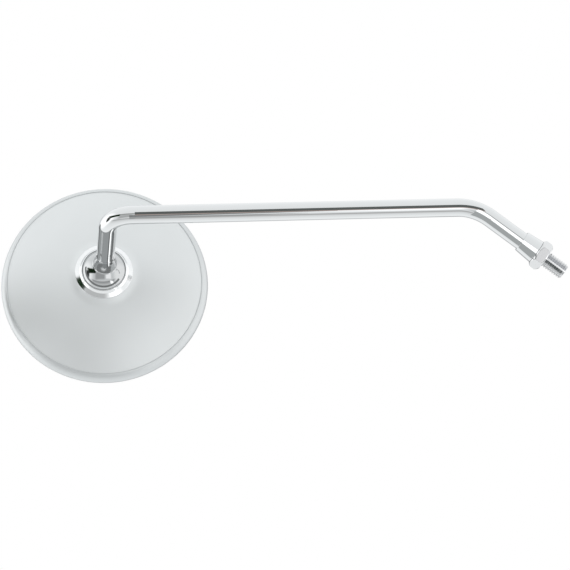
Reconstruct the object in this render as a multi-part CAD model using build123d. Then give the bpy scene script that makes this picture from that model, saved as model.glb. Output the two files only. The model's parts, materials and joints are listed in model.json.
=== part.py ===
"""Round rear-view mirror on a bent stem: chromed head on a ball joint, rod, lock nut and M8 stud.

Frame: the origin is on the stud's axis at the seating face of the lock nut. The stud points down
(-Z) and the end leg of the rod goes up (+Z). The glass faces roughly +Y, the chromed back -Y.
"""
import os
from math import asin, ceil, cos, pi, radians, sin, sqrt, tan

from build123d import *

# ---- stem: bent rod, in the order that it is bent, from the lock nut to the ball ----
rod_diameter = 9.0
end_leg_length = 43.0        # nut seat to the corner of the first bend
run_length = 180.2           # corner to corner
neck_length = 59.5           # corner of the second bend to the ball's centre
run_heading = -170.2         # degrees about Z from +X
run_elevation = 51.8         # degrees above the horizontal
neck_heading = 117.1
neck_elevation = -10.1
first_bend_radius = 27.0     # to the rod's centreline
second_bend_radius = 12.0

# ---- stud, lock nut and conical sleeve ----
thread_radius = 3.95         # M8 crest
thread_depth = 0.65
thread_pitch = 1.25
thread_crest = 0.3           # flat left on each crest
stud_length = 11.5           # below the nut seat
stud_tip_chamfer = 0.9
stud_spigot_radius = 2.8
stud_spigot_length = 9.0
nut_height = 5.5
nut_across_flats = 13.0
nut_chamfer = 0.7
nut_thread_gap = 0.08        # nut bore over the crests
sleeve_length = 9.0
sleeve_low_radius = 6.1
sleeve_high_radius = 5.3
sleeve_rod_gap = 0.08
sleeve_nut_gap = 0.05
sleeve_edge = 0.25

# ---- ball stud and neck ring ----
ball_radius = 12.4
flare_radius = 6.4           # where the flare leaves the ball
flare_length = 18.6          # ball centre to the top of the flare
flare_waist = 0.45           # how far the flare's middle stands off the rod's line
neck_ring_length = 1.3
neck_ring_proud = 0.22
ball_spigot_radius = 2.6
ball_spigot_length = 9.0

# ---- head: heights are along the head's axis from the ball's centre, positive to the back ----
back_heading = -71.3         # direction that the back of the head faces
back_elevation = 8.7
rim_radius = 53.5
rim_width = 3.0              # how far the bezel laps over the back
bezel_wall = 0.7
bezel_bead_radius = 1.8      # at the glass side
bezel_lip = -11.1            # top of the lip that laps over the back
bezel_front = -18.0
front_lip_width = 3.4
lap_gap = 0.1                # between the lip and the end of the dome
shell_wall = 0.8
shell_end = 70.0             # degrees round the shoulder that the shell's edge reaches
dome_radius = 98.0
dome_crown = 2.5             # height that the dome would reach on the axis
collar_rise = 5.0            # width of the hollow where the dome rises to the collar

# ---- ball joint ----
sphere_gap = 0.1             # between the spherical faces that slide on each other
seat_wall = 0.8
collar_wall = 0.8            # outside the rear seat
collar_top = 6.3
collar_bevel_width = 2.2
collar_bevel_height = 4.3
collar_flange_width = 0.5    # beyond the tube
collar_flange_height = 3.2
collar_seat_height = 2.6     # underside of the flange, on the shell
collar_edge = 0.2            # small bevels on its corners
collar_lip_gap = 0.15        # mouth to the ball
rivet_lip_width = 0.9
rivet_lip_wall = 0.5
rear_seat_top = 3.0
rear_seat_bottom = -1.0
front_seat_rim = 60.0        # degrees from the axis, on the glass side
front_seat_hole = 4.0

# ---- clamp behind the glass ----
support_wall = 1.2
support_radius = 27.0
support_top = -2.2
pressure_wall = 0.9
pressure_radius = 26.0
pressure_top = -7.2
clamp_count = 3
clamp_circle = 20.5
screw_radius = 2.0
screw_hole_gap = 0.3
screw_head_radius = 3.6
screw_head_height = 2.0
screw_recess_width = 0.8
clamp_nut_flats = 7.0
clamp_nut_height = 3.0
spring_outer_radius = 4.2
spring_wall = 0.45
spring_count = 4
spring_cup = 0.5             # height of each cupped spring washer over its own wall
washer_wall = 0.5
washer_radius = 4.4

# ---- glass, gasket and pad ----
glass_thickness = 2.0
glass_curve = 1200.0         # radius of the convex face
gasket_wall = 0.9            # between the edge of the glass and the bezel
gasket_width = 3.2           # across the back of the glass
gasket_turn = 2.0            # degrees round the shoulder between it and the shell's edge
glass_fit = 0.1
pad_thickness = 1.0
pad_radius = 45.0


def direction(heading, elevation):
    """Unit vector from a heading about Z and an elevation over the horizontal, in degrees."""
    flat = cos(radians(elevation))
    return Vector(
        flat * cos(radians(heading)),
        flat * sin(radians(heading)),
        sin(radians(elevation)),
    )


def turned(points):
    """Solid of revolution about Z from (radius, height) corners; a nested triple is an arc."""
    edges = []
    start = points[0]
    for item in points[1:] + [points[0]]:
        if isinstance(item[0], tuple):
            edges.append(ThreePointArc(start, item[0], item[1]))
            start = item[1]
        elif item != start:
            edges.append(Line(start, item))
            start = item
    outline = make_face(Plane.XZ * Wire(edges))
    return revolve(outline, Axis.Z)


def slab(low, high, radius):
    """Round block about Z between two heights."""
    return Pos(0, 0, low) * Cylinder(radius, high - low, align=(Align.CENTER, Align.CENTER, Align.MIN))


def sphere_shell(inner, outer):
    return Sphere(outer) - Sphere(inner)


def around(piece, count, radius):
    """The same piece repeated on a circle about Z, as a list of separate solids."""
    return [Rot(0, 0, 360 * index / count) * Pos(radius, 0, 0) * piece for index in range(count)]


def on_sphere(radius, height):
    """Distance from the axis of a sphere about the origin, at a height."""
    return sqrt(radius**2 - height**2)


def save(part, name):
    part.label = name
    export_step(part, f"parts/{name}.step")


# ---- places shared by the pieces ----
rod_radius = rod_diameter / 2
thread_root_radius = thread_radius - thread_depth
run_direction = direction(run_heading, run_elevation)
neck_direction = direction(neck_heading, neck_elevation)
back_direction = direction(back_heading, back_elevation)
first_corner = Vector(0, 0, end_leg_length)
second_corner = first_corner + run_direction * run_length
ball_centre = second_corner + neck_direction * neck_length
rod_end = nut_height + sleeve_nut_gap        # the rod's lower face, over the lock nut
neck_ring_start = flare_length               # from the ball's centre towards the bend
neck_ring_end = neck_ring_start + neck_ring_length
neck_place = Plane(origin=ball_centre, z_dir=-neck_direction).location
head_place = Plane(origin=ball_centre, x_dir=Vector(0, 0, 1), z_dir=back_direction).location

seat_inner = ball_radius + sphere_gap
seat_outer = seat_inner + seat_wall
cavity = seat_outer + sphere_gap
collar_tube_radius = cavity + collar_wall
collar_flange_radius = collar_tube_radius + collar_flange_width
collar_bevel_radius = collar_flange_radius - collar_bevel_width
rivet_lip_radius = collar_tube_radius + rivet_lip_width
support_bottom = support_top - support_wall
pressure_bottom = pressure_top - pressure_wall
spring_step = spring_wall + spring_cup
spring_bottom = pressure_bottom - spring_count * spring_step
head_top = spring_bottom - washer_wall       # face of the screw heads under their washers
lip_inside = bezel_front + bezel_wall
glass_edge_front = lip_inside + glass_fit
rim_inside = rim_radius - bezel_wall
lip_edge = rim_radius - rim_width
lip_slope = asin(lip_edge / dome_radius)     # the lip carries on at the dome's slope
shoulder_radius = rim_width / (1 - sin(lip_slope))
shoulder_low = bezel_lip - shoulder_radius * cos(lip_slope)
lip_round = lip_slope - bezel_wall / 2 / shoulder_radius     # where the lip's rounded edge ends
glass_radius = rim_inside - gasket_wall - glass_fit


def dome_height(radius, inset=0.0):
    """Height of the dome, or of a face that lies inset inside it, at a distance from the axis."""
    return dome_crown - dome_radius + sqrt((dome_radius - inset) ** 2 - radius**2)


def shoulder(inset, turn):
    """Point of the bezel's rounded shoulder, or of a face inset inside it, at an angle from the axis."""
    reach = shoulder_radius - inset
    return (rim_radius - shoulder_radius + reach * sin(turn), shoulder_low + reach * cos(turn))


# ---- stem ----
def stem_rod():
    lower = Vector(0, 0, rod_end)
    upper = ball_centre - neck_direction * neck_ring_end
    path = FilletPolyline(
        lower, first_corner, second_corner, upper,
        radius=[first_bend_radius, second_bend_radius],
    )
    rod = sweep(Plane(lower, z_dir=(0, 0, 1)) * Circle(rod_radius), path)
    rod -= Pos(0, 0, rod_end) * slab(0, stud_spigot_length, stud_spigot_radius)
    spigot_hole = slab(neck_ring_end, neck_ring_start + ball_spigot_length, ball_spigot_radius)
    return rod - neck_place * spigot_hole


def threaded_stud():
    """Stud with a ring groove for each turn of the thread, and a spigot that fills the rod's bore.

    Crests are flat below the nut seat, where the stud goes into a mating thread, and sharp above it.
    """
    stud = slab(-stud_length, rod_end, thread_radius)
    stud += slab(rod_end, rod_end + stud_spigot_length, stud_spigot_radius)
    free_turns = int((stud_length - stud_tip_chamfer) / thread_pitch)
    for index in range(free_turns):
        stud -= Pos(0, 0, -(index + 0.5) * thread_pitch - thread_crest / 2) * thread_groove(thread_crest)
    covered_turns = ceil(rod_end / thread_pitch)
    for index in range(covered_turns):
        stud -= Pos(0, 0, (index + 0.5) * thread_pitch) * thread_groove(0.0)
    tip = stud.edges().filter_by(GeomType.CIRCLE).sort_by(Axis.Z)[0]
    return chamfer(tip, stud_tip_chamfer)


def thread_groove(crest):
    """Ring with a V section that leaves a flat of this width between it and the next groove."""
    half_open = (thread_pitch - crest) / 2
    return turned([
        (thread_root_radius, 0.0),
        (thread_radius, half_open),
        (thread_radius + half_open, half_open),
        (thread_radius + half_open, -half_open),
        (thread_radius, -half_open),
    ])


def lock_nut():
    flats = RegularPolygon(nut_across_flats / 2, 6, major_radius=False)
    nut = extrude(flats, nut_height)
    corner = nut_across_flats / 2 / cos(pi / 6)
    cone = turned([
        (0.0, 0.0),
        (corner - nut_chamfer, 0.0),
        (corner + 0.01, nut_chamfer * tan(radians(35))),
        (corner + 0.01, nut_height - nut_chamfer * tan(radians(35))),
        (corner - nut_chamfer, nut_height),
        (0.0, nut_height),
    ])
    nut = nut & cone
    bore = thread_radius + nut_thread_gap
    return nut - slab(0, nut_height, bore)


def conical_sleeve():
    bottom = nut_height + sleeve_nut_gap
    top = bottom + sleeve_length
    bore = rod_radius + sleeve_rod_gap
    return turned([
        (bore, bottom),
        (sleeve_low_radius, bottom),
        (sleeve_high_radius, top - sleeve_edge),
        (sleeve_high_radius - sleeve_edge, top),
        (bore, top),
    ])


def ball_stud():
    """Ball and its flared neck, with a spigot that fills the rod's bore."""
    leave = on_sphere(ball_radius, flare_radius)
    middle = (leave + flare_length) / 2
    flare = turned([
        (0.0, 0.0),
        (flare_radius, 0.0),
        (flare_radius, leave),
        ((rod_radius + flare_waist, middle), (rod_radius, flare_length)),
        (ball_spigot_radius, flare_length),
        (ball_spigot_radius, flare_length + ball_spigot_length),
        (0.0, flare_length + ball_spigot_length),
    ])
    return neck_place * (Sphere(ball_radius) + flare)


def neck_ring():
    outer = rod_radius + neck_ring_proud
    middle = (neck_ring_start + neck_ring_end) / 2
    return neck_place * turned([
        (ball_spigot_radius, neck_ring_start),
        (rod_radius, neck_ring_start),
        ((outer, middle), (rod_radius, neck_ring_end)),
        (ball_spigot_radius, neck_ring_end),
    ])


# ---- head shells ----
def back_shell():
    """Pressed dome with a hollow rise to the collar; its edge steps down under the bezel's lip."""
    dome_edge = shoulder(bezel_wall / 2, lip_round)[0] - lap_gap
    foot = collar_tube_radius + collar_rise
    middle = (foot + dome_edge) / 2
    hollow = (foot - collar_rise * 0.6, dome_height(foot) + (collar_seat_height - dome_height(foot)) * 0.3)
    inner_edge = dome_edge - 2 * shell_wall
    edge_turn = radians(shell_end)
    half_turn = (lip_slope + edge_turn) / 2
    under_lip = shoulder(bezel_wall, lip_slope)
    under_wall = bezel_wall + shell_wall
    return turned([
        (collar_tube_radius, collar_seat_height),
        (collar_flange_radius, collar_seat_height),
        (hollow, (foot, dome_height(foot))),
        ((middle, dome_height(middle)), (dome_edge, dome_height(dome_edge))),
        (dome_edge, under_lip[1]),
        under_lip,
        (shoulder(bezel_wall, half_turn), shoulder(bezel_wall, edge_turn)),
        shoulder(under_wall, edge_turn),
        (shoulder(under_wall, half_turn), shoulder(under_wall, lip_slope)),
        (inner_edge, dome_height(inner_edge, shell_wall)),
        ((middle, dome_height(middle, shell_wall)), (foot, dome_height(foot, shell_wall))),
        ((hollow[0], hollow[1] - shell_wall), (collar_tube_radius, collar_seat_height - shell_wall)),
    ])


def rim_bezel():
    """Rolled ring: a rounded lip and shoulder over the edge of the dome, and a lip in front of the glass."""
    bead = bezel_bead_radius
    diagonal = bead * (1 - sqrt(0.5))
    front_edge = rim_radius - front_lip_width
    half_turn = (lip_slope + pi / 2) / 2
    return turned([
        shoulder(bezel_wall, lip_slope),
        (shoulder(bezel_wall / 2, lip_round), shoulder(0.0, lip_slope)),
        (shoulder(0.0, half_turn), (rim_radius, shoulder_low)),
        (rim_radius, bezel_front + bead),
        ((rim_radius - diagonal, bezel_front + diagonal), (rim_radius - bead, bezel_front)),
        (front_edge + bezel_wall / 2, bezel_front),
        (front_edge, bezel_front + bezel_wall / 2),
        (front_edge, lip_inside),
        (rim_inside, lip_inside),
        (rim_inside, shoulder_low),
        (shoulder(bezel_wall, half_turn), shoulder(bezel_wall, lip_slope)),
    ])


def ball_collar():
    """Ring on the back of the shell that holds the rear seat, riveted over inside the support plate."""
    mouth_sphere = ball_radius + collar_lip_gap
    mouth_low = rear_seat_top + sphere_gap
    mouth_radius = on_sphere(mouth_sphere, collar_top)
    rivet_bottom = support_bottom - rivet_lip_wall
    collar = turned([
        (0.0, collar_top),
        (mouth_radius + collar_edge, collar_top),
        (collar_bevel_radius, collar_bevel_height),
        (collar_flange_radius - collar_edge, collar_flange_height),
        (collar_flange_radius, collar_flange_height - collar_edge),
        (collar_flange_radius, collar_seat_height),
        (collar_tube_radius, collar_seat_height),
        (collar_tube_radius, support_bottom),
        (rivet_lip_radius, support_bottom),
        (rivet_lip_radius, rivet_bottom),
        (0.0, rivet_bottom),
    ])
    collar -= Sphere(cavity) & slab(rivet_bottom - cavity, mouth_low, cavity)
    collar -= Sphere(mouth_sphere)
    return collar - slab(mouth_low, collar_top, mouth_radius)


# ---- ball seats and clamp ----
def rear_ball_seat():
    return sphere_shell(seat_inner, seat_outer) & slab(rear_seat_bottom, rear_seat_top, seat_outer)


def front_ball_seat():
    rim_height = -seat_inner * cos(radians(front_seat_rim))
    seat = sphere_shell(seat_inner, seat_outer) & slab(-seat_outer, rim_height, seat_outer)
    return seat - slab(-seat_outer, 0, front_seat_hole)


def support_plate():
    plate = slab(support_bottom, support_top, support_radius)
    plate -= slab(support_bottom, support_top, collar_tube_radius)
    hole = slab(support_bottom, support_top, screw_radius + screw_hole_gap)
    return plate - around(hole, clamp_count, clamp_circle)


def pressure_plate():
    """Disc with a spherical cup that the screws pull against the front seat."""
    outer = cavity + pressure_wall
    plate = slab(pressure_bottom, pressure_top, pressure_radius)
    plate += Sphere(outer) & slab(-outer, pressure_top, outer)
    plate -= Sphere(cavity)
    hole = slab(pressure_bottom, pressure_top, screw_radius + screw_hole_gap)
    return plate - around(hole, clamp_count, clamp_circle)


def clamp_screws():
    """Pan-head screws with a cross recess, heads towards the glass."""
    head_bottom = head_top - screw_head_height
    crown = (screw_head_radius * 0.86, head_bottom + screw_head_height * 0.3)
    head = turned([
        (0.0, head_top),
        (screw_head_radius, head_top),
        (crown, (screw_head_radius * 0.4, head_bottom)),
        (0.0, head_bottom),
    ])
    recess = Box(screw_head_radius * 1.1, screw_recess_width, screw_head_height)
    recess += Rot(0, 0, 90) * recess
    screw = head + slab(head_top, support_top, screw_radius)
    return around(screw - Pos(0, 0, head_bottom) * recess, clamp_count, clamp_circle)


def clamp_washers():
    washer = slab(head_top, head_top + washer_wall, washer_radius)
    washer -= slab(head_top, head_top + washer_wall, screw_radius + screw_hole_gap)
    return around(washer, clamp_count, clamp_circle)


def clamp_springs():
    """Stacks of cupped spring washers, every other one the other way up."""
    inner = screw_radius + screw_hole_gap
    pieces = []
    for index in range(spring_count):
        low = spring_bottom + index * spring_step
        rim_low, bore_low = (low, low + spring_cup) if index % 2 else (low + spring_cup, low)
        pieces += around(turned([
            (inner, bore_low),
            (spring_outer_radius, rim_low),
            (spring_outer_radius, rim_low + spring_wall),
            (inner, bore_low + spring_wall),
        ]), clamp_count, clamp_circle)
    return pieces


def clamp_nuts():
    nut = extrude(RegularPolygon(clamp_nut_flats / 2, 6, major_radius=False), clamp_nut_height)
    nut -= slab(0, clamp_nut_height, screw_radius)
    return around(Pos(0, 0, support_bottom - clamp_nut_height) * nut, clamp_count, clamp_circle)


# ---- glass side ----
def glass_height(radius, depth=0.0):
    """Height of the convex front face, or of a face depth behind it, at a distance from the axis."""
    edge_sag = glass_curve - sqrt(glass_curve**2 - glass_radius**2)
    centre = glass_edge_front - edge_sag + glass_curve
    return centre - sqrt((glass_curve - depth) ** 2 - radius**2)


def lens(radius, front, back):
    """Round plate between two faces parallel to the glass's front, at their depths behind it."""
    half = radius / 2
    return turned([
        (0.0, glass_height(0, front)),
        ((half, glass_height(half, front)), (radius, glass_height(radius, front))),
        (radius, glass_height(radius, back)),
        ((half, glass_height(half, back)), (0.0, glass_height(0, back))),
    ])


def glass_gasket():
    """Rubber ring round the edge of the glass, between it, the bezel and the edge of the shell."""
    inner = glass_radius - gasket_width
    glass_back = glass_height(glass_radius, glass_thickness) + glass_fit
    top_turn = radians(shell_end + gasket_turn)
    top = shoulder(bezel_wall + shell_wall, top_turn)
    return turned([
        (inner, glass_back),
        (glass_radius + glass_fit, glass_back),
        (glass_radius + glass_fit, lip_inside),
        (rim_inside, lip_inside),
        (rim_inside, shoulder_low),
        (shoulder(bezel_wall, (top_turn + pi / 2) / 2), shoulder(bezel_wall, top_turn)),
        top,
        (inner, top[1]),
    ])


def in_head(pieces):
    """Place one piece, or a list of separate pieces, in the head as it stands at rest."""
    if isinstance(pieces, list):
        return Compound([head_place * piece for piece in pieces])
    return head_place * pieces


os.makedirs("parts", exist_ok=True)
save(stem_rod(), "stem_rod")
save(threaded_stud(), "threaded_stud")
save(conical_sleeve(), "conical_sleeve")
save(lock_nut(), "lock_nut")
save(ball_stud(), "ball_stud")
save(neck_ring(), "neck_ring")
save(in_head(back_shell()), "back_shell")
save(in_head(rim_bezel()), "rim_bezel")
save(in_head(ball_collar()), "ball_collar")
save(in_head(rear_ball_seat()), "rear_ball_seat")
save(in_head(front_ball_seat()), "front_ball_seat")
save(in_head(support_plate()), "support_plate")
save(in_head(pressure_plate()), "pressure_plate")
save(in_head(clamp_screws()), "clamp_screws")
save(in_head(clamp_washers()), "clamp_washers")
save(in_head(clamp_springs()), "clamp_springs")
save(in_head(clamp_nuts()), "clamp_nuts")
save(in_head(lens(glass_radius, 0.0, glass_thickness)), "mirror_glass")
save(in_head(glass_gasket()), "glass_gasket")
pad_front = glass_thickness + glass_fit
save(in_head(lens(pad_radius, pad_front, pad_front + pad_thickness)), "backing_pad")
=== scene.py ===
import json
import math

import bpy
import numpy as np
from mathutils import Matrix, Vector


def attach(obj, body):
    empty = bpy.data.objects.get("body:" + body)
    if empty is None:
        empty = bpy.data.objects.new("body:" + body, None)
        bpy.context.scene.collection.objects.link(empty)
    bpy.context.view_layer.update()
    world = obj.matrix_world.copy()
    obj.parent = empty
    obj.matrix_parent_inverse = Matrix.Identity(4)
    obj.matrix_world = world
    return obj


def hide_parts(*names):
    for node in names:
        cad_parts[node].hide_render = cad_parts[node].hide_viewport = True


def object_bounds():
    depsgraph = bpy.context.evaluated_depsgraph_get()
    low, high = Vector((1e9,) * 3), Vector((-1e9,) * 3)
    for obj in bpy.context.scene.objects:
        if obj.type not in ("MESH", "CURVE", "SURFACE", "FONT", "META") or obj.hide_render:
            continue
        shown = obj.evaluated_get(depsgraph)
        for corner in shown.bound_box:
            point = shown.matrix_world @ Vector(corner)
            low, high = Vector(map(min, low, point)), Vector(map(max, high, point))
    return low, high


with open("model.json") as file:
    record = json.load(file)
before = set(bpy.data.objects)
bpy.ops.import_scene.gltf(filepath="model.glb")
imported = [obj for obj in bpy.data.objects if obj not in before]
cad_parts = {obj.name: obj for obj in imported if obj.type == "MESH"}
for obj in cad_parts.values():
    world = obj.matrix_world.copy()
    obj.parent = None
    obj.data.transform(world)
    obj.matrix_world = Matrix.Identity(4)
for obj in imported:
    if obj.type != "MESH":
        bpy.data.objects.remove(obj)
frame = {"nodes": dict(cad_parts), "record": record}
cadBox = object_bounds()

mm = 0.001
joints = {joint["name"]: joint for joint in frame["record"]["behaviour"]["joints"]}
ballCentre = np.array(joints["head_pan"]["pos_m"]) / mm     # every length below is in millimetres
backAxis = np.array(joints["head_spin"]["axis"])            # the way the back of the head faces


def unit(vector):
    vector = np.asarray(vector, float)
    return vector / np.linalg.norm(vector)


def heading(turnDegrees, riseDegrees):
    # Unit vector: turned about Z from +X, then raised over the horizontal.
    turn, rise = np.radians([turnDegrees, riseDegrees])
    return np.array([np.cos(rise) * np.cos(turn), np.cos(rise) * np.sin(turn), np.sin(rise)])


def axisFrame(origin, axis):
    # Origin and three directions, the third along axis, for shapes turned on a lathe.
    third = unit(axis)
    side = np.array([0.0, 0.0, 1.0]) if abs(third[2]) < 0.9 else np.array([1.0, 0.0, 0.0])
    first = unit(side - third * np.dot(side, third))
    return np.asarray(origin, float), first, np.cross(third, first), third


def gridPiece(name, points, normals, closedRows=False, startPole=None, endPole=None):
    # Mesh of a grid whose columns close on themselves: quads between neighbouring rows, a fan to each
    # pole, and the exact surface normals as the shading normals. Points are in millimetres.
    rows, columns = points.shape[:2]
    index = np.arange(rows * columns).reshape(rows, columns)
    lower = index if closedRows else index[:-1]
    upper = np.roll(index, -1, axis=0) if closedRows else index[1:]
    quads = np.stack([lower, np.roll(lower, -1, axis=1), np.roll(upper, -1, axis=1), upper], axis=-1)
    faces = [tuple(face) for face in quads.reshape(-1, 4).tolist()]
    allPoints = [points.reshape(-1, 3)]
    allNormals = [normals.reshape(-1, 3)]
    extra = rows * columns
    for pole, row, flip in ((startPole, index[0], True), (endPole, index[-1], False)):
        if pole is None:
            continue
        allPoints.append(np.array([pole[0]]))
        allNormals.append(np.array([pole[1]]))
        ring = np.stack([row, np.roll(row, -1), np.full(columns, extra)], axis=-1)
        faces += [tuple(face) for face in (ring[:, [1, 0, 2]] if flip else ring).tolist()]
        extra += 1
    allPoints = np.concatenate(allPoints)
    allNormals = np.concatenate(allNormals)
    middle = faces[rows * columns // 2]         # one face shows whether all have to be turned over
    corners = allPoints[np.array(middle)][:3]
    facing = np.cross(corners[1] - corners[0], corners[2] - corners[0])
    if np.dot(facing, allNormals[middle[0]]) < 0:
        faces = [face[::-1] for face in faces]
    mesh = bpy.data.meshes.new(name)
    mesh.from_pydata((allPoints * mm).tolist(), [], faces)
    mesh.polygons.foreach_set("use_smooth", np.ones(len(faces), bool))
    mesh.normals_split_custom_set_from_vertices(allNormals.tolist())
    mesh.update()
    piece = bpy.data.objects.new(name, mesh)
    bpy.context.scene.collection.objects.link(piece)
    return piece


def roundedOutline(corners, closed, steps=8):
    # Outline from (radius, height, rounding) corners, taken with the metal on the left. A rounded corner
    # becomes an arc tangent to both sides; a rounding of 0 is a point on a smooth curve, whose direction
    # is that from the point before to the point after.
    spots = np.array([corner[:2] for corner in corners], float)
    count = len(spots)
    points, tangents = [], []
    for number, corner in enumerate(corners):
        here = spots[number]
        if not closed and number in (0, count - 1):
            other = spots[1] if number == 0 else spots[-2]
            points.append(here)
            tangents.append(unit(other - here) if number == 0 else unit(here - other))
            continue
        before, after = spots[number - 1], spots[(number + 1) % count]
        if corner[2] == 0:
            points.append(here)
            tangents.append(unit(unit(here - before) + unit(after - here)))
            continue
        into, out = unit(here - before), unit(after - here)
        turn = np.arctan2(into[0] * out[1] - into[1] * out[0], np.dot(into, out))
        start = here - into * corner[2] * np.tan(abs(turn) / 2)
        side = np.sign(turn) * np.array([-into[1], into[0]])
        centre = start + side * corner[2]
        for angle in np.linspace(0, turn, steps):
            spin = np.array([[np.cos(angle), -np.sin(angle)], [np.sin(angle), np.cos(angle)]])
            points.append(centre + spin @ (start - centre))
            tangents.append(spin @ into)
    points, tangents = np.array(points), np.array(tangents)
    return points, np.stack([tangents[:, 1], -tangents[:, 0]], axis=-1)


def latheWork(name, place, corners, closed=True, segments=256, steps=8):
    # An outline of (radius, height) carried round an axis: each point moves on a circle of its own radius
    # at its own height. An open outline starts and ends on the axis.
    outline, outward = roundedOutline(corners, closed, steps)
    origin, first, second, third = place
    startPole = endPole = None
    if not closed:
        startPole = (origin + third * outline[0, 1], third * np.sign(outward[0, 1]))
        endPole = (origin + third * outline[-1, 1], third * np.sign(outward[-1, 1]))
        outline, outward = outline[1:-1], outward[1:-1]
    turn = np.linspace(0, 2 * np.pi, segments, endpoint=False)
    spoke = np.cos(turn)[:, None] * first + np.sin(turn)[:, None] * second
    points = origin + outline[:, None, :1] * spoke + outline[:, None, 1:] * third
    normals = outward[:, None, :1] * spoke + outward[:, None, 1:] * third
    return gridPiece(name, points, normals, closed, startPole, endPole)


def turnAbout(vector, axis, angle):
    # A vector turned about an axis through the origin.
    return (vector * np.cos(angle) + np.cross(axis, vector) * np.sin(angle)
            + axis * np.dot(axis, vector) * (1 - np.cos(angle)))


def bentTube(name, corners, radii, tubeRadius, segments=96, arcStep=1.5, runStep=4.0):
    # A circle carried along straight runs joined by tangent arcs. Round an arc the circle turns about the
    # arc's own axis, so it never twists.
    corners = [np.asarray(corner, float) for corner in corners]
    centres, firsts, seconds = [], [], []
    along = unit(corners[1] - corners[0])
    aside = [0.3, 0.9, 0.2]                     # any way that the tube doesn't run
    first = unit(np.cross(along, aside))
    here = corners[0]
    for number in range(1, len(corners)):
        target = corners[number]
        if number < len(corners) - 1:
            leaving = unit(corners[number + 1] - target)
            turn = np.arccos(np.dot(along, leaving))
            target = target - along * radii[number - 1] * np.tan(turn / 2)
        spans = max(2, int(np.linalg.norm(target - here) / runStep))
        for share in np.linspace(0, 1, spans, endpoint=False):
            centres.append(here + (target - here) * share)
            firsts.append(first)
            seconds.append(np.cross(along, first))
        here = target
        if number == len(corners) - 1:
            break
        axis = unit(np.cross(along, leaving))
        inward = np.cross(axis, along)
        pivot = here + inward * radii[number - 1]
        for angle in np.arange(0, turn, np.radians(arcStep)):
            centres.append(turnAbout(here - pivot, axis, angle) + pivot)
            firsts.append(turnAbout(first, axis, angle))
            seconds.append(turnAbout(np.cross(along, first), axis, angle))
        here = turnAbout(here - pivot, axis, turn) + pivot
        first = turnAbout(first, axis, turn)
        along = leaving
    centres.append(here)
    firsts.append(first)
    seconds.append(np.cross(along, first))
    around = np.linspace(0, 2 * np.pi, segments, endpoint=False)
    normals = (np.cos(around)[None, :, None] * np.array(firsts)[:, None, :]
               + np.sin(around)[None, :, None] * np.array(seconds)[:, None, :])
    points = np.array(centres)[:, None, :] + normals * tubeRadius
    ends = (centres[0], unit(corners[0] - corners[1])), (centres[-1], along)
    return gridPiece(name, points, normals, False, ends[0], ends[1])


def heightPiece(name, place, radius, turn, height, startPole=None, endPole=None, closedRows=False):
    # A surface given as a distance from the axis at each turn and height, with normals from the slopes of
    # that distance.
    origin, first, second, third = place
    spoke = np.cos(turn)[..., None] * first + np.sin(turn)[..., None] * second
    points = origin + radius[..., None] * spoke + height[..., None] * third
    around = np.roll(points, -1, axis=1) - np.roll(points, 1, axis=1)
    if closedRows:
        along = np.roll(points, -1, axis=0) - np.roll(points, 1, axis=0)
    else:
        along = np.gradient(points, axis=0)
    normals = np.cross(around, along)
    normals /= np.linalg.norm(normals, axis=-1, keepdims=True) + 1e-12
    return gridPiece(name, points, normals, closedRows, startPole, endPole)


def dress(piece, body, node, material):
    # The piece rides on a body, stands for a CAD node, and wears a material.
    piece.data.materials.clear()
    piece.data.materials.append(material)
    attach(piece, body)
    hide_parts(node)


def shaderNode(tree, kind, **settings):
    # New shader node with its settings.
    made = tree.nodes.new(kind)
    for key, value in settings.items():
        setattr(made, key, value)
    return made


def newGroup(name, inputs, outputs):
    # Empty shader node group with its sockets: (name, type, default) going in, (name, type) out.
    group = bpy.data.node_groups.new(name, "ShaderNodeTree")
    for label, kind, value in inputs:
        group.interface.new_socket(label, in_out="INPUT", socket_type=kind).default_value = value
    for label, kind in outputs:
        group.interface.new_socket(label, in_out="OUTPUT", socket_type=kind)
    return group, group.nodes.new("NodeGroupInput"), group.nodes.new("NodeGroupOutput")


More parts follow.
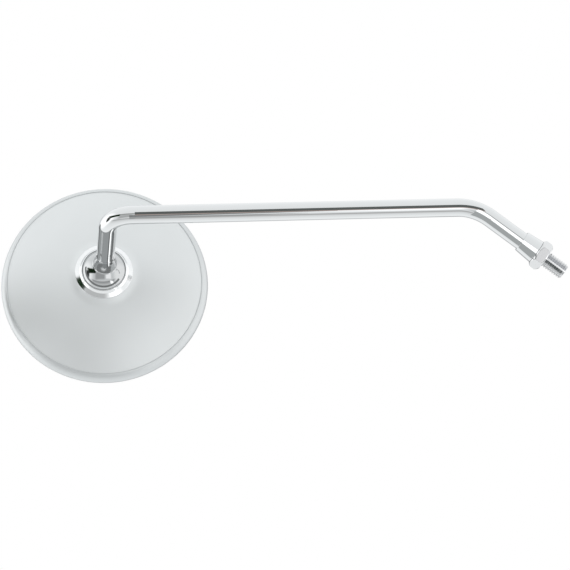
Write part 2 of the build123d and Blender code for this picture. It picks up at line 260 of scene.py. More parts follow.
def makeFinishGroup():
    # Small uneven areas of a finish: a soft cloud and a fine grain, both from Object coordinates, change
    # the roughness, the tone and the height by small amounts.
    group, source, sink = newGroup(
        "surfaceFinish",
        [("Colour", "NodeSocketColor", (0.8, 0.8, 0.8, 1)), ("Roughness", "NodeSocketFloat", 0.1),
         ("Cloud Scale", "NodeSocketFloat", 60.0), ("Cloud Amount", "NodeSocketFloat", 0.02),
         ("Grain Scale", "NodeSocketFloat", 1500.0), ("Grain Amount", "NodeSocketFloat", 0.02),
         ("Tone Amount", "NodeSocketFloat", 0.03)],
        [("Colour", "NodeSocketColor"), ("Roughness", "NodeSocketFloat"), ("Height", "NodeSocketFloat")])
    link = group.links.new
    where = shaderNode(group, "ShaderNodeTexCoord")
    cloud = shaderNode(group, "ShaderNodeTexNoise")
    cloud.inputs["Detail"].default_value = 3
    grain = shaderNode(group, "ShaderNodeTexNoise")
    grain.inputs["Detail"].default_value = 2
    link(where.outputs["Object"], cloud.inputs["Vector"])
    link(where.outputs["Object"], grain.inputs["Vector"])
    link(source.outputs["Cloud Scale"], cloud.inputs["Scale"])
    link(source.outputs["Grain Scale"], grain.inputs["Scale"])

    def scaled(value, amount):
        centred = shaderNode(group, "ShaderNodeMath", operation="SUBTRACT")
        centred.inputs[1].default_value = 0.5
        times = shaderNode(group, "ShaderNodeMath", operation="MULTIPLY")
        link(value, centred.inputs[0])
        link(centred.outputs[0], times.inputs[0])
        link(amount, times.inputs[1])
        return times.outputs[0]

    def added(one, other, clamp=False):
        total = shaderNode(group, "ShaderNodeMath", operation="ADD", use_clamp=clamp)
        link(one, total.inputs[0])
        link(other, total.inputs[1])
        return total.outputs[0]

    cloudShift = scaled(cloud.outputs["Fac"], source.outputs["Cloud Amount"])
    grainShift = scaled(grain.outputs["Fac"], source.outputs["Grain Amount"])
    rough = added(added(source.outputs["Roughness"], cloudShift), grainShift, clamp=True)
    link(rough, sink.inputs["Roughness"])
    tone = shaderNode(group, "ShaderNodeHueSaturation")
    one = shaderNode(group, "ShaderNodeMath", operation="ADD")
    one.inputs[1].default_value = 1.0
    link(scaled(cloud.outputs["Fac"], source.outputs["Tone Amount"]), one.inputs[0])
    link(one.outputs[0], tone.inputs["Value"])
    link(source.outputs["Colour"], tone.inputs["Color"])
    link(tone.outputs["Color"], sink.inputs["Colour"])
    link(grain.outputs["Fac"], sink.inputs["Height"])
    return group


def finishMaterial(name, values):
    # Principled surface whose colour, roughness and bump come from the finish group.
    material = bpy.data.materials.new(name)
    material.use_nodes = True
    tree = material.node_tree
    shader = tree.nodes["Principled BSDF"]
    finish = shaderNode(tree, "ShaderNodeGroup", node_tree=finishGroup)
    finish.inputs["Colour"].default_value = (*values["colour"], 1)
    for label in ("Roughness", "Cloud Scale", "Cloud Amount", "Grain Scale", "Grain Amount", "Tone Amount"):
        key = label[0].lower() + label[1:].replace(" ", "")
        finish.inputs[label].default_value = values[key]
    bump = shaderNode(tree, "ShaderNodeBump")
    bump.inputs["Strength"].default_value = values["bumpStrength"]
    bump.inputs["Distance"].default_value = values["bumpDepth"]
    tree.links.new(finish.outputs["Colour"], shader.inputs["Base Color"])
    tree.links.new(finish.outputs["Roughness"], shader.inputs["Roughness"])
    tree.links.new(finish.outputs["Height"], bump.inputs["Height"])
    tree.links.new(bump.outputs["Normal"], shader.inputs["Normal"])
    shader.inputs["Metallic"].default_value = values.get("metallic", 1.0)
    shader.inputs["Coat Weight"].default_value = values.get("coat", 0.0)
    shader.inputs["Coat Roughness"].default_value = 0.02
    return material


finishGroup = makeFinishGroup()
# a cloud and a grain change each finish: scales in waves for each metre, amounts as shares
finishes = {
    "polishedChrome": {"colour": (0.62, 0.63, 0.635), "roughness": 0.03, "cloudScale": 90,
                       "cloudAmount": 0.02, "grainScale": 900, "grainAmount": 0.01, "toneAmount": 0.02,
                       "bumpStrength": 0.02, "bumpDepth": 0.00001},
    "collarChrome": {"colour": (0.74, 0.75, 0.755), "roughness": 0.12, "cloudScale": 90,
                     "cloudAmount": 0.02, "grainScale": 900, "grainAmount": 0.01, "toneAmount": 0.02,
                     "bumpStrength": 0.02, "bumpDepth": 0.00001},
    "ballChrome": {"colour": (0.47, 0.48, 0.485), "roughness": 0.07, "cloudScale": 90,
                   "cloudAmount": 0.02, "grainScale": 900, "grainAmount": 0.01, "toneAmount": 0.02,
                   "bumpStrength": 0.02, "bumpDepth": 0.00001},
    "bezelChrome": {"colour": (0.56, 0.58, 0.585), "roughness": 0.4, "metallic": 0.8, "cloudScale": 28,
                    "cloudAmount": 0.06, "grainScale": 1200, "grainAmount": 0.01, "toneAmount": 0.04,
                    "bumpStrength": 0.01, "bumpDepth": 0.00001},
    "shellChrome": {"colour": (0.66, 0.68, 0.685), "roughness": 0.5, "metallic": 0.7, "cloudScale": 28,
                    "cloudAmount": 0.1, "grainScale": 1200, "grainAmount": 0.02, "toneAmount": 0.1,
                    "bumpStrength": 0.02, "bumpDepth": 0.00001},
    "brightPlate": {"colour": (0.58, 0.585, 0.59), "roughness": 0.09, "cloudScale": 250,
                    "cloudAmount": 0.03, "grainScale": 2600, "grainAmount": 0.02, "toneAmount": 0.03,
                    "bumpStrength": 0.03, "bumpDepth": 0.000005},
    "zincPlate": {"colour": (0.62, 0.64, 0.66), "roughness": 0.32, "cloudScale": 200,
                  "cloudAmount": 0.15, "grainScale": 2200, "grainAmount": 0.1, "toneAmount": 0.2,
                  "bumpStrength": 0.2, "bumpDepth": 0.00002},
    "springSteel": {"colour": (0.2, 0.21, 0.23), "roughness": 0.3, "cloudScale": 300,
                    "cloudAmount": 0.15, "grainScale": 2600, "grainAmount": 0.08, "toneAmount": 0.2,
                    "bumpStrength": 0.2, "bumpDepth": 0.00001},
    "naturalNylon": {"colour": (0.8, 0.78, 0.7), "roughness": 0.42, "metallic": 0.0, "cloudScale": 120,
                     "cloudAmount": 0.08, "grainScale": 3000, "grainAmount": 0.05, "toneAmount": 0.06,
                     "bumpStrength": 0.2, "bumpDepth": 0.00002},
    "mattRubber": {"colour": (0.022, 0.022, 0.024), "roughness": 0.62, "metallic": 0.0, "cloudScale": 90,
                   "cloudAmount": 0.12, "grainScale": 2400, "grainAmount": 0.1, "toneAmount": 0.25,
                   "bumpStrength": 0.4, "bumpDepth": 0.00004},
    "padFoam": {"colour": (0.09, 0.09, 0.1), "roughness": 0.88, "metallic": 0.0, "cloudScale": 60,
                "cloudAmount": 0.08, "grainScale": 1400, "grainAmount": 0.1, "toneAmount": 0.3,
                "bumpStrength": 0.8, "bumpDepth": 0.0002},
    "silveredGlass": {"colour": (0.88, 0.92, 0.91), "roughness": 0.008, "coat": 1.0, "cloudScale": 20,
                      "cloudAmount": 0.006, "grainScale": 600, "grainAmount": 0.004, "toneAmount": 0.01,
                      "bumpStrength": 0.0, "bumpDepth": 0.000001},
}
looks = {name: finishMaterial(name, values) for name, values in finishes.items()}
print("materials made:", len(looks))

stemValues = {"rod": 9.0, "endLeg": 43.0, "neck": 59.5, "neckTurn": 117.1, "neckRise": -10.1,
              "firstBend": 27.0, "secondBend": 12.0, "rodStart": 5.55, "flareTop": 18.6, "ringLength": 1.3}


def makeStem(values):
    # Round rod up the leg, across the run and along the neck, with two bends. The corner before the neck
    # is the ball's centre less the neck's direction times its length.
    neckAxis = heading(values["neckTurn"], values["neckRise"])
    corners = [(0, 0, values["rodStart"]), (0, 0, values["endLeg"]), ballCentre - neckAxis * values["neck"],
               ballCentre - neckAxis * (values["flareTop"] + values["ringLength"])]
    rod = bentTube("bentRod", corners, [values["firstBend"], values["secondBend"]], values["rod"] / 2)
    dress(rod, "stem", "stem_rod", looks["polishedChrome"])
    return neckAxis


neckAxis = makeStem(stemValues)
neckPlace = axisFrame(ballCentre, -neckAxis)
print("rod bent")

ballValues = {"ball": 12.4, "flareFoot": 6.1, "flareTop": 18.6, "flarePower": 1.5, "rod": 4.5,
              "blend": 1.2, "spigot": 2.6}


def makeBallStud(values):
    # Sphere up to the foot of the flare, then a flare up to the rod, both turned about the neck.
    leave = math.sqrt(values["ball"] ** 2 - values["flareFoot"] ** 2)
    last = np.arcsin(leave / values["ball"])
    climb = np.linspace(-np.pi / 2, last, 60)
    corners = [(values["ball"] * np.cos(angle), values["ball"] * np.sin(angle), 0) for angle in climb[:-1]]
    corners.append((values["flareFoot"], leave, values["blend"]))
    span = values["flareTop"] - leave
    share = np.linspace(0, 1, 16)[1:]
    # the radius falls from the foot to the rod like a power of the share that is left
    flare = values["rod"] + (values["flareFoot"] - values["rod"]) * (1 - share[:-1]) ** values["flarePower"]
    corners += [(radius, leave + span * part, 0) for radius, part in zip(flare, share)]
    corners += [(values["rod"], values["flareTop"], 0.12), (values["spigot"], values["flareTop"], 0.1),
                (0, values["flareTop"], 0)]
    ball = latheWork("ballStud", neckPlace, corners, closed=False, segments=192)
    dress(ball, "stem", "ball_stud", looks["ballChrome"])


makeBallStud(ballValues)

ringValues = {"inner": 2.6, "start": 18.6, "length": 1.3, "rod": 4.5, "proud": 0.22, "edge": 0.35}


def makeNeckRing(values):
    # Band with a rounded outside between the flare and the rod.
    top = values["start"] + values["length"]
    outer = values["rod"] + values["proud"]
    corners = [(values["inner"], values["start"], 0.1), (outer, values["start"], values["edge"]),
               (outer, top, values["edge"]), (values["inner"], top, 0.1)]
    ring = latheWork("neckRing", neckPlace, corners, segments=128)
    dress(ring, "stem", "neck_ring", looks["polishedChrome"])


makeNeckRing(ringValues)

studPlace = axisFrame((0, 0, 0), (0, 0, 1))
studValues = {"crest": 3.95, "root": 3.32, "pitch": 1.25, "tip": -11.5, "top": 5.5, "chamfer": 0.9,
              "crestShare": 0.16, "roundness": 0.35, "soft": 0.12, "columns": 120, "rowsPerTurn": 22}


def makeStud(values):
    # Helical thread: the distance from the axis is a rounded V wave of the height less one pitch for each
    # turn; near the tip it is held under a 45 degree chamfer cone.
    rows = int((values["top"] - values["tip"]) / values["pitch"] * values["rowsPerTurn"])
    around = np.linspace(0, 2 * np.pi, values["columns"], endpoint=False)
    turn, height = np.meshgrid(around, np.linspace(values["tip"], values["top"], rows))
    phase = (height / values["pitch"] - turn / (2 * np.pi)) % 1.0
    wave = np.abs(phase * 2 - 1)                                     # 1 at the crest, 0 at the root
    wave = np.clip((wave - values["crestShare"]) / (1 - 2 * values["crestShare"]), 0, 1)
    wave = wave * wave * (3 - 2 * wave) * values["roundness"] + wave * (1 - values["roundness"])
    radius = values["root"] + (values["crest"] - values["root"]) * wave
    cone = values["crest"] - values["chamfer"] + (height - values["tip"])
    meeting = np.log1p(np.exp(-np.abs(radius - cone) / values["soft"]))
    lower = np.minimum(radius, cone) - values["soft"] * meeting * 0.5
    poles = [((0, 0, values["tip"]), (0, 0, -1)), ((0, 0, values["top"]), (0, 0, 1))]
    stud = heightPiece("threadedStud", studPlace, lower, turn, height, poles[0], poles[1])
    dress(stud, "stem", "threaded_stud", looks["brightPlate"])


makeStud(studValues)

# band is the height near each face where the rows stand closer together; from faceEdge on, the values are
# how far the extra rows stand from an edge to hold it
nutValues = {"flats": 13.0, "height": 5.5, "bore": 4.03, "countersink": 0.5, "chamfer": 1.3,
             "chamferAngle": 42, "edge": 0.2, "columns": 360, "band": 1.6, "bandRows": 26,
             "middleRows": 10, "faceEdge": 0.25, "faceRing": 0.9, "crisp": 0.05, "slight": 0.02,
             "lip": 0.04, "boreRow": 0.2}


def softMin(one, other, width):
    # Smaller of two values, with the crossing rounded over about width.
    gap = np.abs(one - other)
    return np.minimum(one, other) - width * np.exp(-gap / width) * 0.5


def makeNut(values):
    # Six flats cut by a cone at each end: the radius at a turn is the nearest flat's, and the cones hold
    # it down towards both faces. The outline then runs over the faces into the bore.
    columns, band, top = values["columns"], values["band"], values["height"]
    half, corner = values["flats"] / 2, values["flats"] / 2 / math.cos(math.pi / 6)
    slope = math.tan(math.radians(values["chamferAngle"]))
    side = np.concatenate([np.linspace(0.0, band, values["bandRows"]),
                           np.linspace(band + 0.1, top - band - 0.1, values["middleRows"]),
                           np.linspace(top - band, top, values["bandRows"])])
    turn = np.linspace(0, 2 * np.pi, columns, endpoint=False)
    fold = np.abs((turn / (np.pi / 3)) % 1.0 - 0.5) * (np.pi / 3)
    hexagon = half / np.cos(fold)
    reach = corner - values["chamfer"]
    below = reach + side[:, None] / slope
    above = reach + (top - side[:, None]) / slope
    wall = softMin(np.broadcast_to(hexagon, (len(side), columns)), below, values["edge"])
    wall = softMin(wall, above, values["edge"])
    inner, sink = values["bore"], values["countersink"]
    wide = inner + sink
    lowRings = [(wide + values["faceRing"], 0.0), (wide + values["crisp"], 0.0),
                (wide, values["slight"]), (inner, sink), (inner, sink + values["boreRow"])]
    rings = [(ringRadius, top - ringHeight) for ringRadius, ringHeight in lowRings] + lowRings[::-1]
    lowFace = np.stack([wall[0] - values["faceEdge"], wall[0] - values["lip"]])
    highFace = np.stack([wall[-1] - values["lip"], wall[-1] - values["faceEdge"]])
    boreRows = np.repeat(np.array([[ring[0]] for ring in rings]), columns, axis=1)
    radius = np.concatenate([lowFace, wall, highFace, boreRows])
    height = np.concatenate([[0.0, 0.0], side, [top] * 2, [ring[1] for ring in rings]])
    grid = np.repeat(height[:, None], columns, axis=1)
    around = np.broadcast_to(turn, radius.shape)
    nut = heightPiece("lockNut", studPlace, radius, around, grid, closedRows=True)
    dress(nut, "nut", "lock_nut", looks["brightPlate"])


makeNut(nutValues)

sleeveValues = {"bottom": 5.55, "length": 9.0, "low": 6.1, "high": 5.3, "bore": 4.58, "edge": 0.3}


def makeSleeve(values):
    # Cone between two radii over the nut, with a straight bore.
    top = values["bottom"] + values["length"]
    corners = [(values["bore"], values["bottom"], 0.15), (values["low"], values["bottom"], values["edge"]),
               (values["high"], top, values["edge"]), (values["bore"], top, 0.15)]
    sleeve = latheWork("coneSleeve", studPlace, corners, segments=160)
    dress(sleeve, "sleeve", "conical_sleeve", looks["polishedChrome"])


makeSleeve(sleeveValues)
print("stud, nut and sleeve made")

headPlace = axisFrame(ballCentre, backAxis)
shellValues = {"opening": 14.2, "seat": 2.6, "flange": 14.7, "rise": 4.5, "hollowPower": 2.2,
               "domeRadius": 98.0, "crown": 2.5, "wall": 0.8, "edge": 50.01, "edgeTurn": 70}
bezelValues = {"rim": 53.5, "lipWidth": 3.0, "lip": -11.1, "frontWidth": 3.4, "wall": 0.7,
               "front": -18.0, "bead": 1.8}
# the shoulder arc meets the lip at the turn whose sine is the lip's reach over the dome's radius
lipTurn = math.asin((bezelValues["rim"] - bezelValues["lipWidth"]) / shellValues["domeRadius"])
shoulderRadius = bezelValues["lipWidth"] / (1 - math.sin(lipTurn))
shoulderLow = bezelValues["lip"] - shoulderRadius * math.cos(lipTurn)


def shoulder(inset, fromTurn, toTurn, count):
    # Points on the bezel's shoulder arc, or on an arc inset inside it: centre plus radius times the sine
    # and cosine of the angle from the head's axis.
    turn = np.linspace(fromTurn, toTurn, count)
    reach = shoulderRadius - inset
    centre = bezelValues["rim"] - shoulderRadius
    return [(centre + reach * np.sin(angle), shoulderLow + reach * np.cos(angle), 0) for angle in turn]


def makeShell(values):
    # Dome of one radius with a hollow that climbs to the collar like a power of the distance left. Its
    # inside is the same curve a wall lower, with fewer points.
    reach = np.linspace(values["edge"], values["flange"], 150)
    share = np.clip((reach - values["flange"]) / values["rise"], 0, 1)
    radius, centre = values["domeRadius"], values["crown"] - values["domeRadius"]
    dome = centre + np.sqrt(radius ** 2 - reach ** 2)
    footDome = centre + math.sqrt(radius ** 2 - values["flange"] ** 2)
    height = dome + (values["seat"] - footDome) * (1 - share) ** values["hollowPower"]
    upper = [(wide, high, 0) for wide, high in zip(reach[1:-1], height[1:-1])]
    fewer = slice(2, -8, 3)                     # leaves out both ends, where the flange and the edge stand
    inner = [(wide, high - values["wall"], 0) for wide, high in zip(reach[::-1][fewer], height[::-1][fewer])]
    edgeTurn = math.radians(values["edgeTurn"])
    outside = shoulder(bezelValues["wall"], edgeTurn, lipTurn, 10)
    inside = shoulder(bezelValues["wall"] + values["wall"], lipTurn, edgeTurn, 10)
    corners = [(*outside[0][:2], 0.1)] + outside[1:-1]
    corners += [(*outside[-1][:2], 0.05), (values["edge"], outside[-1][1], 0.1),
                (values["edge"], height[0], 0.05)]
    corners += upper
    corners += [(values["flange"], values["seat"], 0.05), (values["opening"], values["seat"], 0.05),
                (values["opening"], values["seat"] - values["wall"], 0.05)]
    corners += inner + [(*inside[0][:2], 0.2)] + inside[1:-1] + [(*inside[-1][:2], 0.1)]
    shell = latheWork("backShell", headPlace, corners, segments=288, steps=6)
    dress(shell, "head", "back_shell", looks["shellChrome"])


makeShell(shellValues)


def makeBezel(values):
    # Rounded lip, shoulder arc, straight side and front bead; inside, the same less the wall.
    front, wall = values["front"], values["wall"]
    inside = values["rim"] - wall
    frontLip = values["rim"] - values["frontWidth"]
    outer = shoulder(0.0, math.pi / 2, lipTurn, 16)
    inner = shoulder(wall, lipTurn, math.pi / 2, 16)
    corners = [(frontLip, front, 0.3), (values["rim"], front, values["bead"])] + outer[:-1]
    lipAlong = np.array([-math.cos(lipTurn), math.sin(lipTurn)])
    lipOut = np.array([math.sin(lipTurn), math.cos(lipTurn)])
    lipMiddle = (np.array(outer[-1][:2]) + np.array(inner[0][:2])) / 2
    for angle in np.linspace(0, math.pi, 9):
        spot = lipMiddle + wall / 2 * (math.cos(angle) * lipOut + math.sin(angle) * lipAlong)
        corners.append((*spot, 0))
    corners += inner[1:]
    corners += [(inside, front + wall, 0.1), (frontLip, front + wall, 0.3)]
    bezel = latheWork("rimBezel", headPlace, corners, segments=288, steps=10)
    dress(bezel, "head", "rim_bezel", looks["bezelChrome"])


makeBezel(bezelValues)

collarValues = {"mouth": 10.85, "top": 6.3, "bevel": 12.5, "bevelHeight": 4.3, "flange": 14.7,
                "flangeHeight": 3.2, "seat": 2.6, "tube": 14.2, "cavity": 13.4, "mouthSphere": 12.55,
                "mouthLow": 3.1, "lip": 0.15, "rivet": 15.1, "rivetTop": -3.4, "rivetWall": 0.5}


def makeCollar(values):
    # Bevelled ring outside, two concentric spheres inside, riveted over at its lower end.
    low, cavity, sphere = values["rivetTop"] - values["rivetWall"], values["cavity"], values["mouthSphere"]
    lowTurn, highTurn = np.arcsin(low / cavity), np.arcsin(values["mouthLow"] / cavity)
    mouthFrom, mouthTo = np.arcsin(values["mouthLow"] / sphere), np.arccos(values["mouth"] / sphere)
    bowl = [(cavity * np.cos(angle), cavity * np.sin(angle), 0)
            for angle in np.linspace(highTurn, lowTurn, 24)[1:-1]]
    throat = [(sphere * np.cos(angle), sphere * np.sin(angle), 0)
              for angle in np.linspace(mouthTo, mouthFrom, 10)[1:-1]]
    corners = [(cavity * np.cos(lowTurn), low, 0.1), (values["rivet"], low, 0.15),
               (values["rivet"], values["rivetTop"], 0.15), (values["tube"], values["rivetTop"], 0.05),
               (values["tube"], values["seat"], 0.05), (values["flange"], values["seat"], 0.05),
               (values["flange"], values["flangeHeight"], 0.3),
               (values["bevel"], values["bevelHeight"], 0.35),
               (values["mouth"] + values["lip"], values["top"], 0.25)]
    corners += throat + [(sphere * np.cos(mouthFrom), values["mouthLow"], 0.05),
                         (cavity * np.cos(highTurn), values["mouthLow"], 0.05)]
    collar = latheWork("ballCollar", headPlace, corners + bowl, segments=224)
    dress(collar, "head", "ball_collar", looks["collarChrome"])


makeCollar(collarValues)

glassValues = {"radius": 51.8, "thickness": 2.0, "curve": 1200.0, "edgeFront": -17.2, "edge": 0.25}


def makeGlass(values):
    # Plate between two like spheres, one a thickness behind the other, with a ground edge: the height is
    # the root of the sphere's radius squared less the reach squared.
    reach = np.linspace(0, values["radius"], 40)
    edgeDepth = math.sqrt(values["curve"] ** 2 - values["radius"] ** 2)
    front = values["edgeFront"] - np.sqrt(values["curve"] ** 2 - reach ** 2) + edgeDepth
    back = front + values["thickness"]
    corners = [(wide, high, 0) for wide, high in zip(reach[:-1], front[:-1])]
    corners += [(values["radius"], front[-1], values["edge"]), (values["radius"], back[-1], values["edge"])]
    corners += [(wide, high, 0) for wide, high in zip(reach[::-1][1:], back[::-1][1:])]
    glass = latheWork("mirrorGlass", headPlace, corners, closed=False, segments=256)
    dress(glass, "head", "mirror_glass", looks["silveredGlass"])


makeGlass(glassValues)
print("head made")

# the pieces inside the head keep their CAD shape
innerLooks = {"rear_ball_seat": "naturalNylon", "front_ball_seat": "naturalNylon",
              "support_plate": "zincPlate", "pressure_plate": "zincPlate", "clamp_screws": "zincPlate",
              "clamp_washers": "zincPlate", "clamp_springs": "springSteel", "clamp_nuts": "zincPlate",
              "glass_gasket": "mattRubber", "backing_pad": "padFoam"}
for nodeName, lookName in innerLooks.items():
    for slot in frame["nodes"][nodeName].material_slots:
        slot.material = looks[lookName]
print("inner pieces dressed:", len(innerLooks))

# lens and sensor in millimetres, distances in metres, roll in degrees
viewValues = {"lens": 115.06, "sensor": 36, "distance": 0.9, "across": -0.0865, "height": 0.0960,
              "farthest": 100, "roll": 53.77}


def makeCamera(values):
    # Level lens that looks along +Y, rolled about its own line; gives back its right, up and back.
    camera = bpy.data.objects.new("viewer", bpy.data.cameras.new("viewer"))
    bpy.context.scene.collection.objects.link(camera)
    camera.data.lens = values["lens"]
    camera.data.sensor_width = values["sensor"]
    camera.data.clip_end = values["farthest"]
    roll = math.radians(values["roll"])
    up = Vector((math.sin(roll), 0, math.cos(roll)))
    back = Vector((0, -1, 0))
    right = up.cross(back)
    turn = Matrix((right, up, back)).transposed().to_4x4()
    place = (values["across"], -values["distance"], values["height"])
    camera.matrix_world = Matrix.Translation(place) @ turn
    bpy.context.scene.camera = camera
    return right, up, back


lensRight, lensUp, lensBack = makeCamera(viewValues)
print("camera placed")

floorValues = {"size": 6.0, "drop": 0.0015, "tone": 0.86, "roughness": 0.9}       # size and drop in metres


def makeFloor(values):
    # Square just under the lowest point: plain white to the lens, pale paper to everything else.
    level = cadBox[0][2] - values["drop"]
    half = values["size"] / 2
    mesh = bpy.data.meshes.new("studioFloor")
    corners = [(-half, -half, level), (half, -half, level), (half, half, level), (-half, half, level)]
    mesh.from_pydata(corners, [], [(0, 1, 2, 3)])
    floor = bpy.data.objects.new("studioFloor", mesh)
    bpy.context.scene.collection.objects.link(floor)
    material = bpy.data.materials.new("palePaper")
    material.use_nodes = True
    tree = material.node_tree
    shader = tree.nodes["Principled BSDF"]
    shader.inputs["Base Color"].default_value = (values["tone"], values["tone"], values["tone"], 1)
    shader.inputs["Roughness"].default_value = values["roughness"]
    glow = shaderNode(tree, "ShaderNodeEmission")
    path = shaderNode(tree, "ShaderNodeLightPath")
    mix = shaderNode(tree, "ShaderNodeMixShader")
    tree.links.new(path.outputs["Is Camera Ray"], mix.inputs["Fac"])
    tree.links.new(shader.outputs[0], mix.inputs[1])
    tree.links.new(glow.outputs[0], mix.inputs[2])
    tree.links.new(mix.outputs[0], tree.nodes["Material Output"].inputs["Surface"])
    mesh.materials.append(material)
    floor.visible_glossy = False          # the metal reflects the studio only


makeFloor(floorValues)

skyValues = {
    # tone seen by polished metal at an angle from the lens side (0) up over the top (90) or under (-90)
    "bands": [(-180, 1.36), (-140, 1.30), (-108, 1.30), (-74, 1.15), (-54, 0.92), (-46, 0.66),
              (-41, 0.50), (-36, 1.12), (-10, 1.12), (30, 1.02), (47, 1.06), (62, 0.84), (116, 0.80),
              (150, 1.10), (180, 1.36)],
    "tint": (0.985, 1.0, 1.005), "tallest": 2.0, "diffuse": 1.15,
    "leftTone": 1.75, "rightTone": 1.50, "sideFrom": 0.70, "sideTo": 0.92,
    # panels as spans of the direction's right and up parts, with how soft their edges are; each is on the
    # lens side where the direction's back part climbs through aheadSpan, or behind through behindSpan
    "aheadSpan": (0.0, 0.1), "behindSpan": (-0.62, -0.80),
    "panels": [
        {"right": (-0.60, 0.14), "up": (-0.46, 0.10), "soft": 0.10, "colour": (0.60, 0.61, 0.61)},
        {"right": (-0.96, 0.42), "up": (0.12, 0.34), "soft": 0.06, "colour": (0.42, 0.43, 0.42)},
        {"right": (0.24, 0.60), "up": (-0.40, 0.02), "soft": 0.05, "colour": (1.65, 1.65, 1.65)},
        {"right": (-0.96, -0.56), "up": (0.02, 0.34), "soft": 0.03, "colour": (0.012, 0.030, 0.012)},
        {"right": (-1.20, -0.93), "up": (-0.30, 0.20), "soft": 0.03, "colour": (0.06, 0.065, 0.06)},
        {"right": (0.52, 0.68), "up": (-0.72, -0.54), "soft": 0.03, "colour": (2.4, 2.4, 2.4)},
        {"right": (-0.60, 0.60), "up": (-0.70, 0.30), "soft": 0.30, "colour": (0.34, 0.35, 0.36),
         "behind": True},
        {"right": (-0.30, 0.10), "up": (-0.90, 0.10), "soft": 0.05, "colour": (0.75, 0.76, 0.77),
         "behind": True},
    ],
}


def makeWorld(values):
    # Soft studio: bands of tone by angle about the lens's level line, white sides, and a few panels.
    world = bpy.data.worlds.new("softStudio")
    bpy.context.scene.world = world
    world.use_nodes = True
    tree = world.node_tree
    tree.nodes.clear()
    link = tree.links.new
    where = shaderNode(tree, "ShaderNodeTexCoord")

    def along(direction):
        dot = shaderNode(tree, "ShaderNodeVectorMath", operation="DOT_PRODUCT")
        dot.inputs[1].default_value = direction
        link(where.outputs["Generated"], dot.inputs[0])
        return dot.outputs["Value"]

    def maths(operation, one, other=None):
        made = shaderNode(tree, "ShaderNodeMath", operation=operation)
        for socket, value in zip(made.inputs, (one, other)):
            if isinstance(value, (int, float)):
                socket.default_value = value
            elif value is not None:
                link(value, socket)
        return made.outputs[0]

    def climb(value, low, high):
        made = shaderNode(tree, "ShaderNodeMapRange", interpolation_type="SMOOTHSTEP")
        made.inputs["From Min"].default_value = low
        made.inputs["From Max"].default_value = high
        link(value, made.inputs["Value"])
        return made.outputs["Result"]

    def blended(factor, under, over):
        mix = shaderNode(tree, "ShaderNodeMix", data_type="RGBA")
        link(factor, mix.inputs["Factor"])
        link(under, mix.inputs["A"])
        mix.inputs["B"].default_value = (*over, 1)
        return mix.outputs["Result"]

    right, up, back = along(lensRight), along(lensUp), along(lensBack)
    # the share of a whole turn is the angle over two pi, plus a half
    share = maths("MULTIPLY_ADD", maths("ARCTAN2", up, back), 0.5 / math.pi)
    share.node.inputs[2].default_value = 0.5
    ramp = shaderNode(tree, "ShaderNodeValToRGB")
    stops = ramp.color_ramp.elements
    stops.remove(stops[-1])
    for number, (degrees, tone) in enumerate(values["bands"]):
        stop = stops[0] if number == 0 else stops.new(0.5)
        stop.position = (degrees + 180) / 360
        grey = tone / values["tallest"]
        stop.color = (*(grey * part for part in values["tint"]), 1)
    link(share, ramp.inputs["Fac"])
    scaled = shaderNode(tree, "ShaderNodeVectorMath", operation="SCALE")
    scaled.inputs["Scale"].default_value = values["tallest"]
    link(ramp.outputs["Color"], scaled.inputs[0])
    near, far = values["sideFrom"], values["sideTo"]
    colour = blended(climb(right, near, far), scaled.outputs[0], [values["rightTone"]] * 3)
    colour = blended(climb(right, -near, -far), colour, [values["leftTone"]] * 3)
    for panel in values["panels"]:
        soft = panel["soft"]
        cover = climb(back, *values["behindSpan" if panel.get("behind") else "aheadSpan"])
        for value, (low, high) in ((right, panel["right"]), (up, panel["up"])):
            cover = maths("MULTIPLY", cover, climb(value, low - soft, low + soft))
            cover = maths("MULTIPLY", cover, climb(value, high + soft, high - soft))
        colour = blended(cover, colour, panel["colour"])
    path = shaderNode(tree, "ShaderNodeLightPath")
    studio = shaderNode(tree, "ShaderNodeBackground")
    link(colour, studio.inputs["Color"])
    plain = shaderNode(tree, "ShaderNodeBackground")
    plain.inputs["Strength"].default_value = values["diffuse"]
    plain.inputs["Color"].default_value = (1, 1, 1, 1)
    backdrop = shaderNode(tree, "ShaderNodeBackground")
    backdrop.inputs["Color"].default_value = (1, 1, 1, 1)
    first = shaderNode(tree, "ShaderNodeMixShader")
    link(path.outputs["Is Diffuse Ray"], first.inputs["Fac"])
    link(studio.outputs[0], first.inputs[1])
    link(plain.outputs[0], first.inputs[2])
    second = shaderNode(tree, "ShaderNodeMixShader")
    link(path.outputs["Is Camera Ray"], second.inputs["Fac"])
    link(first.outputs[0], second.inputs[1])
    link(backdrop.outputs[0], second.inputs[2])
    output = shaderNode(tree, "ShaderNodeOutputWorld")
    link(second.outputs[0], output.inputs["Surface"])


makeWorld(skyValues)

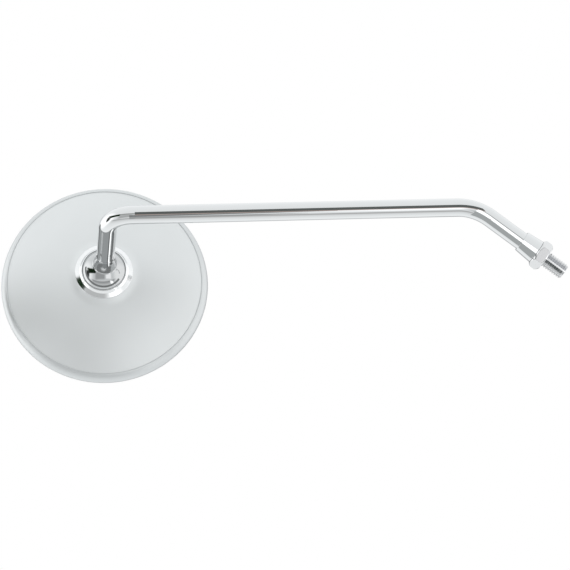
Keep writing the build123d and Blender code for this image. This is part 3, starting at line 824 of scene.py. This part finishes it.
# flags seen only in reflections, which paint dark and bright reflections on the metal: strips and wedges
# ahead of the run, strips standing round the neck, the leg, the stud and the nut, and an arc over the ball
paintedReflectionValues = {
    # strips beside the run: their two edges across it, and their tone
    "runAhead": 9.0, "runBefore": 6.0, "runTo": 0.93,
    # painted reflections on the run: a dark line, a warm line beside it and a grey band
    "runStrips": [(0.0, 4.3, (0.16, 0.17, 0.165)), (-0.6, 0.0, (0.80, 0.62, 0.56)),
                  (-9.0, -7.0, (0.70, 0.69, 0.68))],
    # wedges under the dark strip: where along the run they end, their two edges by the head, and their tone
    # the wedges paint grey reflections under the dark line
    "runWedges": [(0.38, -3.4, -0.6, (0.30, 0.31, 0.31)), (0.46, -9.0, -3.4, (0.50, 0.51, 0.51))],
    "wedgeFrom": 0.95, "wedgeTip": 0.3,
    # strips round a straight length: reach from its axis, where they start and end, and each strip's two
    # angles from the lens side (positive to the right) with its tone
    "round": {
        # painted reflections round the lengths: dark and grey strips, and bright strips as painted
        # highlights
        "neck": {"reach": 6.5, "from": -14.5, "to": -50.0,
                 "strips": [(-80, -66, (0.14, 0.15, 0.15)), (-66, 27, (0.43, 0.45, 0.455)),
                            (27, 36, (0.22, 0.23, 0.23)), (37, 46, (1.9, 1.9, 1.9)),
                            (54, 78, (0.22, 0.23, 0.23))]},
        "leg": {"reach": 9.0, "from": 6.0, "to": 41.0,
                "strips": [(-62, -14, (0.55, 0.57, 0.57)), (-14, 12, (1.9, 1.9, 1.9)),
                           (12, 14, (0.85, 0.84, 0.88))]},
        "stud": {"reach": 9.0, "from": -28.0, "to": -1.0,
                 "strips": [(-3, 20, (2.2, 2.2, 2.2)), (20, 80, (0.86, 0.88, 0.92))]},
        "studDark": {"reach": 9.0, "from": -13.0, "to": -1.0, "strips": [(-50, -3, (0.22, 0.24, 0.24))]},
        "nut": {"reach": 24.0, "from": -5.0, "to": 5.5, "strips": [(-19, 19, (1.15, 1.15, 1.16))]}},
    # arc about the head's axis: reach, heights over the ball's centre, tone, and two angles from the right
    # the arc paints a darker reflection on the ball
    "arcReach": 14.2, "arcLow": 7.0, "arcHigh": 8.8, "arcTone": (0.34, 0.35, 0.35), "arcFrom": 170,
    "arcTo": 330, "arcPoints": 60}


def makePaintedReflection(name, first, second, tone):
    # Ruled strip between two lines of points, in millimetres, that gives out one tone as a painted
    # reflection.
    count = len(first)
    index = np.arange(count - 1)
    faces = np.stack([index, index + 1, index + 1 + count, index + count], axis=-1)
    mesh = bpy.data.meshes.new(name)
    mesh.from_pydata((np.concatenate([first, second]) * mm).tolist(), [], faces.tolist())
    flag = bpy.data.objects.new(name, mesh)
    bpy.context.scene.collection.objects.link(flag)
    material = bpy.data.materials.new(name)
    material.use_nodes = True
    tree = material.node_tree
    tree.nodes.clear()
    glow = shaderNode(tree, "ShaderNodeEmission")
    glow.inputs["Color"].default_value = (*tone, 1)
    output = shaderNode(tree, "ShaderNodeOutputMaterial")
    tree.links.new(glow.outputs[0], output.inputs["Surface"])
    mesh.materials.append(material)
    # hidden from the lens, from diffuse light and from shadows, so the strip only paints reflections
    flag.visible_camera = flag.visible_diffuse = flag.visible_shadow = flag.visible_transmission = False


def makePaintedReflections(values):
    # A point of a strip is a point of the straight length plus its reach times the cosine of the angle
    # towards the lens and the sine of it to the right.
    # places each painted reflection: beside the run, round the straight lengths and over the ball
    toLens, toRight = np.array(lensBack), np.array(lensRight)
    foot = np.array([0, 0, stemValues["endLeg"]])
    whole = ballCentre - neckAxis * stemValues["neck"] - foot
    run = unit(whole)
    ahead = unit(toLens - run * np.dot(toLens, run))
    side = np.cross(run, ahead)
    outwards = ahead * values["runAhead"]
    line = np.linspace(foot - run * values["runBefore"], foot + whole * values["runTo"], 2) + outwards
    for number, (low, high, tone) in enumerate(values["runStrips"]):
        makePaintedReflection("runFlag" + str(number), line + side * low, line + side * high, tone)
    start = foot + whole * values["wedgeFrom"] + outwards
    for number, (share, low, high, tone) in enumerate(values["runWedges"]):
        tip = foot + whole * share + outwards + side * high
        makePaintedReflection("wedgeFlag" + str(number), np.array([start + side * low, tip - side * values["wedgeTip"]]),
                 np.array([start + side * high, tip]), tone)
    for name, span in values["round"].items():
        origin = ballCentre if name == "neck" else np.zeros(3)
        axis = neckAxis if name == "neck" else np.array([0.0, 0.0, 1.0])
        near = unit(toLens - axis * np.dot(toLens, axis))
        rightSide = np.cross(near, axis)
        rightSide *= np.sign(np.dot(rightSide, toRight))
        line = origin + axis * np.array([[span["from"]], [span["to"]]])
        for number, (low, high, tone) in enumerate(span["strips"]):
            edges = [line + span["reach"] * (math.cos(angle) * near + math.sin(angle) * rightSide)
                     for angle in (math.radians(low), math.radians(high))]
            makePaintedReflection(name + "Flag" + str(number), edges[0], edges[1], tone)
    # the ball's arc, a painted darker reflection
    lensAcross = unit(toRight - backAxis * np.dot(toRight, backAxis))
    lensTall = np.cross(backAxis, lensAcross)
    turn = np.radians(np.linspace(values["arcFrom"], values["arcTo"], values["arcPoints"]))[:, None]
    ring = ballCentre + values["arcReach"] * (np.cos(turn) * lensAcross + np.sin(turn) * lensTall)
    makePaintedReflection("ballFlag", ring + backAxis * values["arcLow"], ring + backAxis * values["arcHigh"],
             values["arcTone"])


makePaintedReflections(paintedReflectionValues)

scene = bpy.context.scene
scene.view_settings.view_transform = "Standard"
scene.view_settings.look = "None"
print("studio ready")
